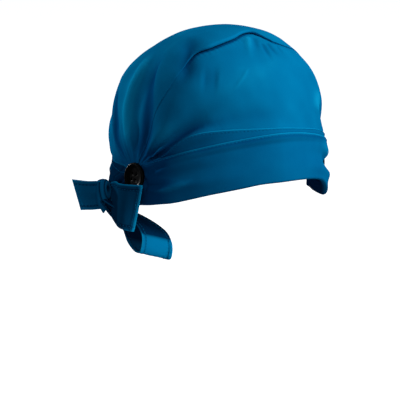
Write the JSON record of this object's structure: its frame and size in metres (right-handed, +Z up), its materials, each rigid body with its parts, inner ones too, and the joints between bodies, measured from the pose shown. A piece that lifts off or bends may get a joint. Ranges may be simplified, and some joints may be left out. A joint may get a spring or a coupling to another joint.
{
  "type": "scrub cap",
  "caption": "Cloth surgical cap with a gathered bag crown, front panel, deep turned band, side buttons and a ribbon tied in a half bow behind the ear.",
  "frame": {"origin": "middle of the head opening, level with the lower edge of the band beside the ears", "axes": "+X towards the wearer's left, -Y towards the forehead, +Z up through the crown"},
  "size_m": [0.2112, 0.2108, 0.1882],
  "materials": {
    "cap_cloth": "closely woven cotton blend with a soft sheen",
    "ribbon_cloth": "folded and edge-stitched tie of the same cloth",
    "button_plastic": "polished black resin"
  },
  "bodies": {
    "root": {"crown_front": "cap_cloth", "crown_back": "cap_cloth", "headband": "cap_cloth", "strap_back": "ribbon_cloth", "knot": "ribbon_cloth", "tail_back": "ribbon_cloth", "tail_front": "ribbon_cloth", "bow_loop": "ribbon_cloth", "button_right": "button_plastic", "button_left": "button_plastic"}
  },
  "joints": []
}
